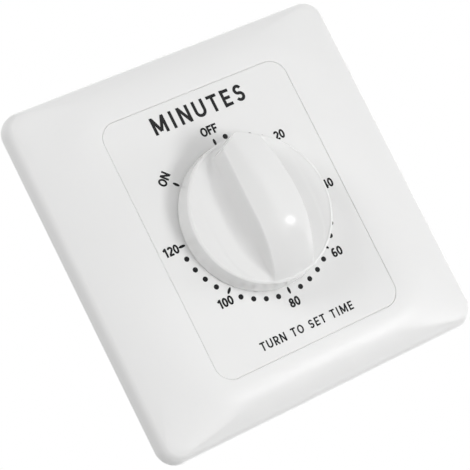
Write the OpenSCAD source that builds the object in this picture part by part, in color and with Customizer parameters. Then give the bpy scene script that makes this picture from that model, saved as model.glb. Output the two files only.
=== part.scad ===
// Wall switch with a spring-wound countdown timer.
// A clip-on cover frame, a mounting plate whose raised middle is the dial, one turning knob,
// and behind the dial a clockwork in a case that fits a square wall box.
// Frame: +Z up, the dial faces -Y, the origin is the plate's centre on the wall plane.
// Inside the modules x runs right, y up the plate and z out of the wall; upright() stands that up.

/* [Cover frame] */
// Width of the cover frame
plate_w = 86; // [85:0.5:92]
// Height of the cover frame
plate_h = 86; // [85:0.5:92]
// Radius of the frame's corners, seen from the front
corner_r = 5; // [3:0.5:8]
// Height of the outer crest over the wall
edge_z = 5; // [4.6:0.1:5.6]
// How far the crest lies in from the outline
crest_in = 1; // [0.5:0.1:2]
// Wall of the frame
shell_t = 2; // [1.6:0.1:2.2]
// Gap between the frame's window and the dial
seam_gap = 0.15; // [0.1:0.05:0.4]
// Chamfer along both sides of the seam
seam_bevel = 0.5; // [0.2:0.1:0.8]
// Wall of the lip round the window
lip_t = 1.6; // [1.2:0.1:2]
// Width of a snap hook
hook_w = 8; // [6:0.5:10]
// Thickness of a snap hook
hook_t = 1.6; // [1.2:0.1:2]
// How far a hook's barb reaches out
barb = 0.8; // [0.6:0.1:1]

/* [Dial] */
// Width of the dial
dial_w = 50; // [49:0.5:54]
// Height of the dial
dial_h = 64; // [58:0.5:66]
// Radius of the dial's corners
dial_r = 4.5; // [3:0.5:6]
// Height of the dial's face over the wall
dial_z = 8; // [7.6:0.1:9]
// Thickness of the dial's face
dial_t = 2; // [1.8:0.1:2.4]
// Walls that carry the dial, above and below the case
dial_wall = 2; // [1.4:0.1:2.6]

/* [Wall fixing] */
// Distance between the two wall screws
hole_pitch = 60.3; // [59:0.1:62]
// Diameter of the wall-screw holes
hole_d = 4.5; // [3.6:0.1:5]
// Diameter of the seat for a screw's head
head_d = 8.4; // [7:0.1:8.8]
// Depth of that seat
head_seat = 0.8; // [0.4:0.1:1.2]
// Thickness of the mounting plate
base_t = 2.4; // [2.2:0.1:3]
// Gap between the mounting plate and the frame's wall
base_gap = 0.4; // [0.3:0.1:0.8]

/* [Knob] */
// Diameter of the knob's skirt
knob_d = 34.7; // [34.4:0.1:36]
// Gap between the knob and the dial
knob_gap = 0.4; // [0.3:0.1:0.8]
// Height of the skirt
skirt_h = 5.9; // [5.4:0.1:7]
// Radius of the skirt's upper edge
skirt_round = 0.4; // [0.3:0.1:0.6]
// Wall of the skirt and of the dish
skirt_t = 1.6; // [1.3:0.1:1.8]
// How deep the dish lies under the rim
dish_drop = 0.2; // [0.1:0.1:0.4]
// Width of the grip at its foot
grip_w = 14; // [13:0.1:15]
// Height of the grip's crest over the dish
grip_h = 9.4; // [8.4:0.1:10.4]
// Slope of the grip's sides in degrees
grip_draft = 7; // [4:0.5:9]
// Radius of the grip's sides, seen from the front
side_r = 72; // [65:1:90]
// Radius of the crest, seen from the side
arch_r = 42; // [38:1:60]
// Radius across the crest
crown_r = 14; // [13:0.5:16]
// Radius of the pointing end, seen from the front
nose_r = 7; // [6.6:0.1:8]
// Radius of the tail, seen from the side
tail_r = 16; // [15:0.1:16.4]
// Radius of the cove at the grip's foot
cove_r = 1.6; // [1:0.1:2]
// Radius of the hub round the shaft
hub_r = 5; // [4.6:0.1:5.4]

/* [Shaft] */
// Diameter of the shaft
shaft_d = 6; // [5.6:0.1:6.4]
// Depth of the flat cut on the shaft
flat_cut = 1.5; // [1:0.1:1.8]
// Diameter of the shaft behind the main wheel
rear_d = 5; // [4.6:0.1:5.2]
// Diameter of the shaft's rear pivot
tail_d = 3; // [2.6:0.1:3.4]
// Radial clearance of turning fits
run_fit = 0.03; // [0.02:0.01:0.08]
// Radial clearance of fixed fits
seat_fit = 0.02; // [0.01:0.01:0.05]

/* [Clockwork] */
// Thickness of the front plate
front_t = 1.2; // [1:0.1:1.6]
// Thickness of the rear plate
rear_t = 1; // [0.8:0.1:1.4]
// Teeth of the four wheels
wheel_teeth = 50; // [48:1:52]
// Teeth of the four pinions
pinion_teeth = 10; // [10:1:12]
// Module of the main wheel's teeth
main_module = 0.42; // [0.41:0.01:0.43]
// Module of the second wheel's teeth
second_module = 0.34; // [0.33:0.01:0.35]
// Module of the third and fourth wheels' teeth
third_module = 0.28; // [0.27:0.01:0.29]
// Play cut from each tooth
tooth_play = 0.06; // [0.04:0.01:0.1]
// Thickness of the main wheel
main_t = 1.2; // [1:0.1:1.4]
// Thickness of the other wheels
wheel_t = 0.8; // [0.7:0.1:0.9]
// Step from one wheel to the next
level_step = 1.9; // [1.8:0.1:2.2]
// Height of the mainspring's band
spring_h = 5; // [4:0.5:6]
// Thickness of the mainspring's band
spring_t = 0.35; // [0.2:0.05:0.4]
// Turns of the mainspring
spring_turns = 8; // [6:1:8]
// Step from one turn of the mainspring to the next
spring_step = 0.82; // [0.8:0.01:0.84]
// Radius of the wheels' arbors
arbor_r = 0.6; // [0.5:0.05:0.7]
// Radius of the arbors' pivots
pivot_r = 0.4; // [0.3:0.05:0.45]
// Teeth of the escape wheel
escape_teeth = 24; // [22:1:26]
// Tip radius of the escape wheel
escape_r = 4.5; // [4.2:0.1:4.7]
// Radius of the pillars
pillar_r = 2; // [1.8:0.1:2.1]

/* [Switch] */
// Radius of the cam's round part
cam_r = 7.4; // [7:0.1:7.6]
// Depth of the cam's notch at OFF
notch_deep = 1.8; // [1.6:0.1:2]
// Width of the cam along the shaft
cam_w = 3.6; // [3.4:0.1:4]
// Thickness of the stop lug
lug_t = 1.2; // [1:0.1:1.4]
// Gap between the open contacts
contact_gap = 1; // [0.8:0.1:1.2]
// Thickness of the contact blade
blade_t = 0.4; // [0.3:0.05:0.5]
// Thickness of the brass terminals
brass_t = 0.8; // [0.6:0.1:1]

/* [Case] */
// Wall of the case
case_t = 1.8; // [1.5:0.1:2]
// Thickness of the case's back
case_back = 1.8; // [1.5:0.1:2.2]
// Radius of the case's upright edges
case_r = 3; // [2:0.5:4]
// Clearance between the case and the mounting plate
case_gap = 0.2; // [0.1:0.05:0.4]
// Width of a terminal well
well_w = 12; // [11:0.5:13]
// Height of a terminal well
well_h = 13.3; // [12.5:0.1:13.5]
// Walls round a terminal well
well_t = 1.4; // [1.2:0.1:1.5]

/* [Hidden] */
$fn = 64;
eps = 0.01;

white = [0.92, 0.92, 0.91];
ivory = [0.86, 0.85, 0.81];
steel = [0.72, 0.73, 0.75];
brass = [0.80, 0.65, 0.34];
nylon = [0.88, 0.87, 0.82];

// Turning range of the knob, clockwise from OFF
turn_on = 45;
turn_full = 270;

// Levels along z
front_z = dial_z - dial_t;
train_z = front_z - front_t;
screw_tip = 0.8;
spring_z = train_z - screw_tip - 0.6;
ring_t = 0.5;
washer_t = 0.4;
ring_z = spring_z - spring_h - 0.3;
washer_z = ring_z - ring_t;
main_z = washer_z - washer_t;
flange_t = 0.6;
level_z = [main_z, main_z - main_t - flange_t - 0.3,
           main_z - main_t - flange_t - 0.3 - level_step,
           main_z - main_t - flange_t - 0.3 - 2 * level_step,
           main_z - main_t - flange_t - 0.3 - 3 * level_step];
escape_z = level_z[4];
rear_z = escape_z - wheel_t - 0.6;
switch_z = rear_z - rear_t;
lug_z = switch_z - 1;
cam_z = lug_z - lug_t;
boss_gap = 0.5;
tail_seat = 1.7;
tail_z = cam_z - cam_w - boss_gap;
case_in_z = tail_z - tail_seat - 0.8;
back_z = case_in_z - case_back;
end_play = 0.1;

// Sizes of the train
mesh_m = [main_module, second_module, third_module, third_module];
function polar(r, a) = [r * cos(a), r * sin(a)];
function pitch_r(m, z) = m * z / 2;
function mesh_d(k) = pitch_r(mesh_m[k], wheel_teeth + pinion_teeth);
lean = [215, -32, 5, 50];
at1 = [0, 0];
at2 = at1 + polar(mesh_d(0), lean[0]);
at3 = at2 + polar(mesh_d(1), lean[1]);
at4 = at3 + polar(mesh_d(2), lean[2]);
at5 = at4 + polar(mesh_d(3), lean[3]);
arbors = [at2, at3, at4, at5];
addendum = 0.8;
dedendum = 1.05;
press_a = 25;
function tip_r(m, z) = pitch_r(m, z) + addendum * m;

// The escapement
pallet_span = 3.5 * 360 / escape_teeth;
pallet_pin = 0.3;
pallet_clear = 0.08;
pallet_d = escape_r + 1.9;
pallet_lean = 75;
at6 = at5 + polar(pallet_d, pallet_lean);

// The case holds the wheel that reaches out farthest
wheel_gap = 0.9;
reach = max([for (k = [0:2]) max(abs(arbors[k][0]), abs(arbors[k][1]))
             + tip_r(mesh_m[k + 1], wheel_teeth)]);
case_in = 2 * (reach + wheel_gap);
case_w = case_in + 2 * case_t;
case_room = case_w + 2 * case_gap;
pillar_at = case_in / 2 - pillar_r - 1;
rear_w = case_in - 1;
corners = [[1, 1], [-1, 1], [-1, -1], [1, -1]];

// Sizes of the switch
tip_gap = 0.6;
follower_r = 1.4;
blade_w = 2.8;
blade_z = cam_z - cam_w / 2;
blade_y = cam_r + 2.2;
blade_end = 14;
contact_x = 12;
contact_r = 1.5;
contact_h = 1;
strip_x = case_in / 2 - 0.1;
tab_w = 4;
tab_in = 7;
lug_r = cam_r + 3;
stop_r = cam_r + 2;
stop_pin_r = 0.9;
stop_at = 180 + turn_full + (360 - turn_full - turn_on) / 2;
lug_half = (360 - turn_full - turn_on) / 2 - asin(stop_pin_r / stop_r) - 0.5;

// Sizes of the terminals
well_x = well_t / 2 + 1.5;
lug_gap = 0.4;
well_z = cam_z - lug_gap - well_t;
well_y = -case_w / 2 + well_h;
clamp_w = 8;
clamp_t = 1.2;
clamp_at = [well_x + well_w / 2, well_y - 1 - clamp_w / 2];
term_shank = 1.7;
term_head = 3.2;

// Sizes of the knob
knob_r = knob_d / 2;
knob_z = dial_z + knob_gap;
rim_z = knob_z + skirt_h;
dish_z = rim_z - dish_drop;
crest_z = dish_z + grip_h;
crown_z = crest_z - crown_r;
arch_y = -0.5;
join_y = -2;
join_a = asin((join_y - arch_y) / arch_r);
tail_out = 0.08;
nose_back = 0.5;
dish_r = knob_r - 1.6 * skirt_round - dish_drop;
core_wall = 3.2;
core_len = 4;
core_deep = 4.6;
shaft_r = shaft_d / 2;
shaft_top = crest_z - 3.6;
flat_y = shaft_r - flat_cut;
timer_pitch = 25;
timer_lean = 135;
timer_shank = 1.5;
timer_head_r = 2.75;
timer_head_h = 1.8;
bush_r = 5;
bush_neck = 4.2;

// Sizes of the cover frame
window_w = dial_w + 2 * seam_gap;
window_h = dial_h + 2 * seam_gap;
window_r = dial_r + seam_gap;
base_w = plate_w - 2 * (shell_t + base_gap);
base_h = plate_h - 2 * (shell_t + base_gap);
hook_x = 20;
hook_y = (window_h / 2 + lip_t + base_h / 2 - hook_t - barb) / 2;
hook_gap = 0.3;
barb_h = 0.9;
ledge_z = 1.2;
pillow = 8;

// Plate coordinates stood up against the wall
module upright() {
  rotate([90, 0, 0]) children();
}

// Rectangle with round corners
module round_rect(w, h, r) {
  square([w - 2 * r, h], center = true);
  square([w, h - 2 * r], center = true);
  for (c = corners) translate([c[0] * (w / 2 - r), c[1] * (h / 2 - r)]) circle(r);
}

// Upright prism from z0 to z1
module prism(z0, z1) {
  translate([0, 0, z0]) linear_extrude(z1 - z0) children();
}

// Round bar from z0 to z1
module bar(r, z0, z1) {
  translate([0, 0, z0]) cylinder(r = r, h = z1 - z0);
}

// The four corners of one thin slice of a loft
module slice(w, h, r, z) {
  for (c = corners)
    translate([c[0] * (w / 2 - r), c[1] * (h / 2 - r), z - eps])
      cylinder(r = r, h = eps, $fn = 32);
}

// Crown of the cover: height at a share s of the way from the crest to the window
function crown_of(s) = edge_z + (dial_z - edge_z) * (1 - (1 - s) * (1 - s));
function mix(a, b, s) = a + (b - a) * s;

// The cover's solid, drawn in by t on every side
module cover_solid(t) {
  hull() {
    slice(plate_w - 2 * t, plate_h - 2 * t, corner_r - t / 2, eps - t);
    slice(plate_w - 2 * t, plate_h - 2 * t, corner_r - t / 2, 0.66 * edge_z - t);
    slice(plate_w - 2 * t - 0.5 * crest_in, plate_h - 2 * t - 0.5 * crest_in,
          corner_r - t / 2, 0.88 * edge_z - t);
    for (i = [0:pillow])
      slice(mix(plate_w - 2 * crest_in, window_w, i / pillow) - 2 * t,
            mix(plate_h - 2 * crest_in, window_h, i / pillow) - 2 * t,
            corner_r - t / 2, crown_of(i / pillow) - t);
  }
}

// One snap hook of the cover, its barb toward +y
module hook() {
  rotate([90, 0, 90])
    translate([0, 0, -hook_w / 2])
      linear_extrude(hook_w)
        polygon([[0, 0.3], [hook_t, 0.3], [hook_t + barb, 0.3 + barb_h / 2],
                 [hook_t + barb, 0.3 + barb_h], [hook_t, 0.3 + barb_h],
                 [hook_t, edge_z], [0, edge_z]]);
}

module hooks() {
  for (sx = [-1, 1], sy = [0, 1])
    mirror([0, sy, 0]) translate([sx * hook_x, hook_y, 0]) hook();
}

// Chamfer of the window's edge, wider toward the front
module window_bevel() {
  near = -0.2;
  far = seam_bevel + 0.5;
  hull()
    for (c = corners)
      translate([c[0] * (window_w / 2 - window_r), c[1] * (window_h / 2 - window_r),
                 dial_z - seam_bevel + near])
        cylinder(r1 = window_r + near, r2 = window_r + far, h = far - near);
}

module cover_frame() {
  color(white) upright() {
    difference() {
      union() {
        difference() {
          cover_solid(0);
          cover_solid(shell_t);
        }
        intersection() {
          cover_solid(0);
          prism(base_t, dial_z) round_rect(window_w + 2 * lip_t, window_h + 2 * lip_t,
                                           window_r + lip_t);
        }
      }
      prism(-1, dial_z + 1) round_rect(window_w, window_h, window_r);
      window_bevel();
    }
    hooks();
  }
}

// The dial's block: a prism with round corners whose top edge is bevelled
module dial_block() {
  hull()
    for (c = corners)
      translate([c[0] * (dial_w / 2 - dial_r), c[1] * (dial_h / 2 - dial_r), 0]) {
        cylinder(r = dial_r, h = dial_z - seam_bevel, $fn = 32);
        cylinder(r = dial_r - seam_bevel, h = dial_z, $fn = 32);
      }
}

module mounting_plate() {
  color(white) upright() {
    difference() {
      union() {
        prism(0, base_t) round_rect(base_w, base_h, corner_r - shell_t / 2);
        dial_block();
      }
      prism(-1, front_z) round_rect(case_room, dial_h - 2 * dial_wall, dial_r - dial_wall / 2);
      for (s = [-1, 1]) translate([s * hole_pitch / 2, 0, 0]) {
        bar(hole_d / 2, -1, base_t + 1);
        bar(head_d / 2, base_t - head_seat, base_t + 1);
      }
      bar(bush_r + 0.2, 0, dial_z + 1);
      for (s = [-1, 1]) translate(polar(s * timer_pitch / 2, timer_lean))
        bar(timer_shank + 0.1, 0, dial_z + 1);
      for (sx = [-1, 1], sy = [0, 1]) mirror([0, sy, 0]) translate([sx * hook_x, hook_y, 0]) {
        translate([-hook_w / 2 - hook_gap, -hook_gap, -1])
          cube([hook_w + 2 * hook_gap, hook_t + 2 * hook_gap, base_t + 2]);
        translate([-hook_w / 2 - hook_gap, 0, -1])
          cube([hook_w + 2 * hook_gap, hook_t + barb + hook_gap, ledge_z + 0.1 + 1]);
      }
    }
  }
}

// Skirt of the knob in section
module skirt_section() {
  square([knob_r - skirt_round, skirt_h]);
  square([knob_r, skirt_h - skirt_round]);
  translate([knob_r - skirt_round, skirt_h - skirt_round]) circle(skirt_round);
}

// Side view of the grip, as a half section that spins about the line under its crest
module grip_section() {
  join_r = crown_r - arch_r + arch_r * cos(join_a);
  intersection() {
    translate([crown_r - arch_r, arch_y]) circle(arch_r, $fn = 180);
    union() {
      translate([join_r - tail_r * cos(join_a) + tail_out, join_y - tail_r * sin(join_a)])
        circle(tail_r);
      translate([0, join_y]) square([crown_r + 1, 2 * knob_r]);
    }
    translate([0, -2 * knob_r]) square([crown_r + 1, 4 * knob_r]);
  }
}

// Sides of the grip: two wide rounds that lean in
module grip_sides() {
  intersection_for (s = [0, 1])
    mirror([s, 0, 0])
      translate([grip_w / 2, 0, dish_z])
        rotate([0, -grip_draft, 0])
          translate([-side_r, 0, -crown_r])
            cylinder(r = side_r, h = 3 * crown_r, $fn = 180);
}

// Arched body whose crest runs along y
module grip_arch() {
  translate([0, 0, crown_z]) rotate([-90, 0, 0]) rotate_extrude() grip_section();
}

// Cove along the foot of both sides
module grip_coves() {
  intersection() {
    grip_arch();
    bar(dish_r - 0.3, dish_z - 0.2, dish_z + cove_r);
    for (s = [0, 1])
      mirror([s, 0, 0])
        translate([grip_w / 2 - side_r, 0, dish_z])
          rotate_extrude($fn = 180)
            translate([side_r - cove_r / 2, 0])
              difference() {
                translate([0, -0.2]) square([1.5 * cove_r, cove_r]);
                translate([1.5 * cove_r, 0.92 * cove_r]) circle(cove_r);
              }
  }
}

module grip() {
  intersection() {
    grip_arch();
    grip_sides();
    prism(dish_z - skirt_t, crest_z + 1) {
      translate([0, knob_r - nose_back - nose_r]) circle(nose_r);
      translate([-knob_r, -knob_r]) square([2 * knob_r, 2 * knob_r - nose_back - nose_r]);
    }
  }
}

// Round bar with the shaft's flat
module d_bar(r, flat, z0, z1) {
  difference() {
    bar(r, z0, z1);
    translate([-2 * r, flat, z0 - 1]) cube([4 * r, 2 * r, z1 - z0 + 2]);
  }
}

module knob() {
  roof_z = dish_z - skirt_t;
  color(white) upright() {
    difference() {
      union() {
        difference() {
          translate([0, 0, knob_z]) rotate_extrude() skirt_section();
          translate([0, 0, dish_z]) cylinder(r1 = dish_r, r2 = dish_r + dish_drop + 1, h = dish_drop + 1);
        }
        grip();
        grip_coves();
      }
      difference() {
        bar(knob_r - skirt_t, knob_z - 1, roof_z);
        bar(hub_r, knob_z - 2, roof_z + 1);
      }
      d_bar(shaft_r + run_fit, flat_y + run_fit, knob_z - 1, shaft_top + 0.5);
      for (s = [-1, 1])
        translate([core_wall - grip_w / 2, s > 0 ? hub_r + skirt_t : -hub_r - skirt_t - core_len, roof_z - 1])
          cube([grip_w - 2 * core_wall, core_len, core_deep + 1]);
    }
  }
}

module knob_clip() {
  clip_t = 0.5;
  color(steel) upright()
    difference() {
      bar(hub_r + clip_t, knob_z + 0.3, knob_z + 2.5);
      bar(hub_r + seat_fit, knob_z - 1, knob_z + 4);
      translate([0, -hub_r, knob_z + 1]) cube([1.2, 2 * hub_r, 6], center = true);
    }
}

// Pan-head screw along z, head up, with a cross slot
module pan_screw(shank, head, head_h, seat, tip) {
  difference() {
    union() {
      bar(shank, tip, seat);
      translate([0, 0, seat]) cylinder(r1 = head, r2 = head * 0.86, h = head_h);
    }
    for (a = [0, 90])
      rotate(a) translate([0, 0, seat + head_h]) cube([1.3 * head, 0.26 * head, head_h], center = true);
  }
}

module timer_screws() {
  color(steel) upright()
    for (s = [-1, 1]) translate(polar(s * timer_pitch / 2, timer_lean))
      pan_screw(timer_shank, timer_head_r, timer_head_h, dial_z, train_z - screw_tip);
}

module main_arbor() {
  color(steel) upright() {
    d_bar(shaft_r, flat_y, knob_z - 0.1, shaft_top);
    bar(shaft_r, main_z - main_t, knob_z - 0.1);
    bar(shaft_r + 0.9, main_z - main_t - flange_t, main_z - main_t);
    bar(rear_d / 2, tail_z, main_z - main_t - flange_t);
    bar(tail_d / 2, case_in_z - 0.8, tail_z);
  }
}

module front_bush() {
  color(brass) upright()
    difference() {
      union() {
        bar(bush_r, front_z, dial_z - 0.2);
        bar(bush_neck, train_z, front_z);
        bar(bush_neck + 0.5, train_z - 0.6, train_z);
      }
      bar(shaft_r + run_fit, train_z - 2, dial_z + 1);
    }
}

// Pivot holes of the whole train
module pivot_holes() {
  for (p = [at2, at3, at4, at5, at6]) translate(p) circle(pivot_r + run_fit);
}

module pillar_holes(r) {
  for (c = corners) translate(c * pillar_at) circle(r);
}

module front_plate() {
  color(steel) upright()
    prism(train_z, front_z)
      difference() {
        round_rect(case_w, case_w, case_r);
        circle(bush_neck + seat_fit);
        pivot_holes();
        pillar_holes(pillar_r - 0.8);
        for (s = [-1, 1]) translate(polar(s * timer_pitch / 2, timer_lean))
          circle(timer_shank + seat_fit);
        translate(polar(post_at, post_lean)) circle(post_r);
      }
}

module rear_plate() {
  color(steel) upright()
    prism(switch_z, rear_z)
      difference() {
        round_rect(rear_w, rear_w, 2);
        circle(rear_d / 2 + run_fit);
        pivot_holes();
        pillar_holes(pillar_r - 0.8);
        translate(polar(stop_r, 90 - stop_at)) circle(stop_pin_r - 0.2);
      }
}

module pillars() {
  color(steel) upright()
    for (c = corners) translate(c * pillar_at)
      difference() {
        union() {
          bar(pillar_r, rear_z, train_z);
          bar(pillar_r - 0.8, switch_z, front_z);
        }
        bar(pillar_r - 1.2, switch_z - 1, rear_z + 5);
      }
}

// The mainspring is an open spiral from the shaft out to the post
spring_r0 = shaft_r + spring_t / 2 + 0.1;
spring_r1 = spring_r0 + spring_turns * spring_step;
spring_lean = 45;
post_r = 0.9;
post_lean = spring_lean;
post_at = spring_r1 + spring_t / 2 + post_r + 0.05;
function spiral_r(a) = spring_r0 + spring_step * a / 360;

module mainspring() {
  steps = 24 * spring_turns;
  turn = 360 * spring_turns;
  outer = [for (i = [0:steps]) polar(spiral_r(turn * i / steps) + spring_t / 2,
                                     spring_lean - turn * (1 - i / steps))];
  inner = [for (i = [steps:-1:0]) polar(spiral_r(turn * i / steps) - spring_t / 2,
                                        spring_lean - turn * (1 - i / steps))];
  color(steel) upright() prism(spring_z - spring_h, spring_z) polygon(concat(outer, inner));
}

module spring_post() {
  color(steel) upright() translate(polar(post_at, post_lean))
    union() {
      bar(post_r, spring_z - spring_h, train_z);
      bar(post_r - seat_fit, train_z, front_z);
    }
}

module clutch_washer() {
  color(steel) upright() prism(main_z, washer_z)
    difference() {
      circle(shaft_r + 2.6);
      circle(shaft_r + seat_fit);
      for (a = [0:60:300]) rotate(a) translate([shaft_r + 2.6, 0]) circle(1);
    }
}

module retaining_ring() {
  color(steel) upright() prism(washer_z, ring_z)
    difference() {
      circle(shaft_r + 1.4);
      circle(shaft_r + seat_fit);
      translate([0, -shaft_r]) square([2.4, 4 * shaft_r], center = true);
    }
}

// Involute teeth: half the angle that a tooth takes up at radius q
function involute(a) = tan(a) * 180 / PI - a;
function half_tooth(m, z, q) =
  (PI * m / 2 - tooth_play) / m / z * 180 / PI + involute(press_a)
  - involute(acos(min(1, pitch_r(m, z) * cos(press_a) / q)));

module gear(m, z) {
  r = pitch_r(m, z);
  low = r - dedendum * m;
  base = max(low, r * cos(press_a));
  top = r + addendum * m;
  rows = [base, (base + top) / 2, top];
  polygon([for (i = [0:z - 1]) let (c = 360 * i / z)
    each concat([polar(low, c - half_tooth(m, z, base))],
                [for (q = rows) polar(q, c - half_tooth(m, z, q))],
                [for (k = [2:-1:0]) polar(rows[k], c + half_tooth(m, z, rows[k]))],
                [polar(low, c + half_tooth(m, z, base))])]);
}

// Lightening holes between the hub and the rim of a wheel
module spokes(count, r0, r1) {
  for (i = [0:count - 1]) rotate(360 * (i + 0.5) / count)
    translate([(r0 + r1) / 2, 0]) circle((r1 - r0) / 2);
}

module main_wheel() {
  m = mesh_m[0];
  color(nylon) upright() prism(main_z - main_t, main_z)
    difference() {
      rotate(lean[0]) gear(m, wheel_teeth);
      circle(shaft_r + seat_fit);
      spokes(6, shaft_r + 2.8, pitch_r(m, wheel_teeth) - 1.6);
    }
}

// Arbor between the plates with a pivot in each
module arbor() {
  bar(arbor_r, rear_z + end_play, train_z - end_play);
  bar(pivot_r, rear_z - rear_t, train_z + front_t);
}

// Wheel k of the train with its pinion, turned so that both mesh at rest
module train_wheel(k) {
  z = level_z[k];
  up = level_z[k - 1] + 0.25;
  m = mesh_m[k - 1];
  color(nylon) upright() translate(arbors[k - 1]) {
    prism(z, up) rotate(lean[k - 1] + 180 + 180 / pinion_teeth) gear(m, pinion_teeth);
    prism(z - wheel_t, z)
      difference() {
        rotate(lean[k]) gear(mesh_m[k], wheel_teeth);
        spokes(5, 2.4, pitch_r(mesh_m[k], wheel_teeth) - 1.2);
      }
    arbor();
  }
}

module second_wheel() {
  train_wheel(1);
}

module third_wheel() {
  train_wheel(2);
}

module fourth_wheel() {
  train_wheel(3);
}

// Pointed teeth that lean with the turn, set so that both pallet pins face a gap
module escape_section() {
  step = 360 / escape_teeth;
  low = escape_r - 0.9;
  rotate(pallet_lean + pallet_span)
    difference() {
      polygon([for (i = [0:escape_teeth - 1]) each [
        polar(low, step * (i - 0.24)), polar(low, step * (i + 0.24)),
        polar(escape_r, step * (i + 0.42)), polar(escape_r, step * (i + 0.52))]]);
      spokes(4, 1.6, low - 0.5);
    }
}

module escape_wheel() {
  up = level_z[3] + 0.25;
  color(nylon) upright() translate(at5) {
    prism(escape_z, up) rotate(lean[3] + 180 + 180 / pinion_teeth) gear(mesh_m[3], pinion_teeth);
    prism(escape_z - wheel_t, escape_z) escape_section();
    arbor();
  }
}

// Anchor with two pins that the escape wheel's teeth knock from side to side
module pallet_lever() {
  plate_z = escape_z + 0.25;
  plate_t = 0.6;
  pin_r = escape_r + pallet_pin + pallet_clear;
  color(steel) upright() {
    for (s = [-1, 1]) {
      pin = at5 + polar(pin_r, pallet_lean + s * pallet_span);
      arm = pin - at6;
      translate(pin) bar(pallet_pin, escape_z - wheel_t, plate_z + plate_t);
      prism(plate_z, plate_z + plate_t) {
        translate(pin) circle(0.7);
        translate(at6) rotate(atan2(arm[1], arm[0])) translate([0, -0.55]) square([norm(arm), 1.1]);
      }
    }
    translate(at6) {
      prism(plate_z, plate_z + plate_t) {
        circle(1.4);
        rotate(pallet_lean) translate([0, -0.6]) square([3.6, 1.2]);
        rotate(pallet_lean) translate([4, 0]) circle(1.5);
      }
      arbor();
    }
  }
}

// Round cam with a notch under the follower at OFF
module cam_section() {
  low = cam_r - notch_deep;
  difference() {
    circle(cam_r);
    polygon([polar(2 * cam_r, 90 - 48), polar(low, 90 - 19), polar(low, 90 + 19),
             polar(2 * cam_r, 90 + 48)]);
    circle(rear_d / 2 + seat_fit);
  }
}

// Lug that meets the pin at both ends of the turn
module lug_section() {
  difference() {
    union() {
      circle(cam_r - notch_deep);
      intersection() {
        circle(lug_r);
        polygon([[0, 0], polar(2 * lug_r, -90 - lug_half), polar(2 * lug_r, -90 + lug_half)]);
      }
    }
    circle(rear_d / 2 + seat_fit);
  }
}

module switch_cam() {
  color(nylon) upright() {
    prism(cam_z - cam_w, cam_z) cam_section();
    prism(cam_z, lug_z) lug_section();
  }
}

module stop_pin() {
  color(steel) upright() translate(polar(stop_r, 90 - stop_at)) {
    bar(stop_pin_r, cam_z - 0.2, switch_z);
    bar(stop_pin_r - 0.2 - seat_fit, switch_z, rear_z);
  }
}

// A block given by its x, y and z limits
module block(x, y, z) {
  translate([x[0], y[0], z[0]]) cube([x[1] - x[0], y[1] - y[0], z[1] - z[0]]);
}

// Round bar along y from y0 to y1
module cross_bar(r, y0, y1) {
  translate([0, y0, 0]) rotate([-90, 0, 0]) cylinder(r = r, h = y1 - y0);
}

blade_span = [blade_z - blade_w / 2, blade_z + blade_w / 2];
tab_span = [blade_z - tab_w / 2, blade_z + tab_w / 2];
tab_y = blade_y + blade_t;
load_y = tab_y + 2 * contact_h + contact_gap;
rivet_x = [-strip_x + brass_t + 2, -strip_x + brass_t + 5];
rivet_r = 0.9;
pad_top = well_z;
strip_low = well_y - 3;

module contact_blade() {
  color(brass) upright()
    difference() {
      block([-strip_x + brass_t + 0.4, blade_end], [blade_y, tab_y], blade_span);
      for (x = rivet_x) translate([x, 0, blade_z]) cross_bar(rivet_r, blade_y - 1, tab_y + 1);
      translate([contact_x, 0, blade_z]) cross_bar(contact_r / 2, blade_y - 1, tab_y + 1);
      translate([0, 0, blade_z]) cross_bar(follower_r / 2, blade_y - 1, tab_y + 1);
    }
}

module cam_follower() {
  tip_y = cam_r - notch_deep + tip_gap;
  color(nylon) upright() translate([0, 0, blade_z]) {
    cross_bar(follower_r, tip_y, blade_y);
    cross_bar(follower_r / 2 - seat_fit, blade_y, tab_y);
    cross_bar(follower_r * 0.8, tab_y, tab_y + 0.5);
  }
}

module moving_contact() {
  color(steel) upright() translate([contact_x, 0, blade_z]) {
    cross_bar(contact_r, tab_y, tab_y + contact_h);
    cross_bar(contact_r / 2 - seat_fit, blade_y, tab_y);
    cross_bar(contact_r * 0.7, blade_y - 0.4, blade_y);
  }
}

module fixed_contact() {
  color(steel) upright() translate([contact_x, 0, blade_z]) {
    cross_bar(contact_r, load_y - contact_h, load_y);
    cross_bar(contact_r / 2 - seat_fit, load_y, load_y + brass_t);
    cross_bar(contact_r * 0.7, load_y + brass_t, load_y + brass_t + 0.3);
  }
}

module blade_rivets() {
  color(steel) upright() for (x = rivet_x) translate([x, 0, blade_z]) {
    cross_bar(rivet_r - seat_fit, blade_y, tab_y + brass_t);
    cross_bar(rivet_r * 1.6, blade_y - 0.5, blade_y);
    cross_bar(rivet_r * 1.6, tab_y + brass_t, tab_y + brass_t + 0.5);
  }
}

// Brass strip along the case's wall, from the pad in the well up to height y, on the +x side
module terminal_strip(y) {
  block([strip_x - brass_t, strip_x], [strip_low, y], tab_span);
  block([well_x + well_w - 0.4, strip_x], [strip_low, well_y - 0.4], [pad_top - brass_t, pad_top]);
  difference() {
    block([well_x + 0.4, well_x + well_w - 0.4], [clamp_at[1] - clamp_w / 2 - 0.6, well_y - 0.4],
          [pad_top - brass_t, pad_top]);
    translate(clamp_at) bar(term_shank + seat_fit, back_z, 0);
  }
  block([strip_x - brass_t, strip_x], [strip_low, well_y - 0.4],
        [pad_top - brass_t, blade_z]);
}

module line_terminal() {
  color(brass) upright() mirror([1, 0, 0]) {
    terminal_strip(tab_y + brass_t);
    difference() {
      block([strip_x - brass_t - tab_in, strip_x - brass_t], [tab_y, tab_y + brass_t], tab_span);
      for (x = rivet_x) translate([-x, 0, blade_z]) cross_bar(rivet_r, 0, load_y);
    }
  }
}

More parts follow.
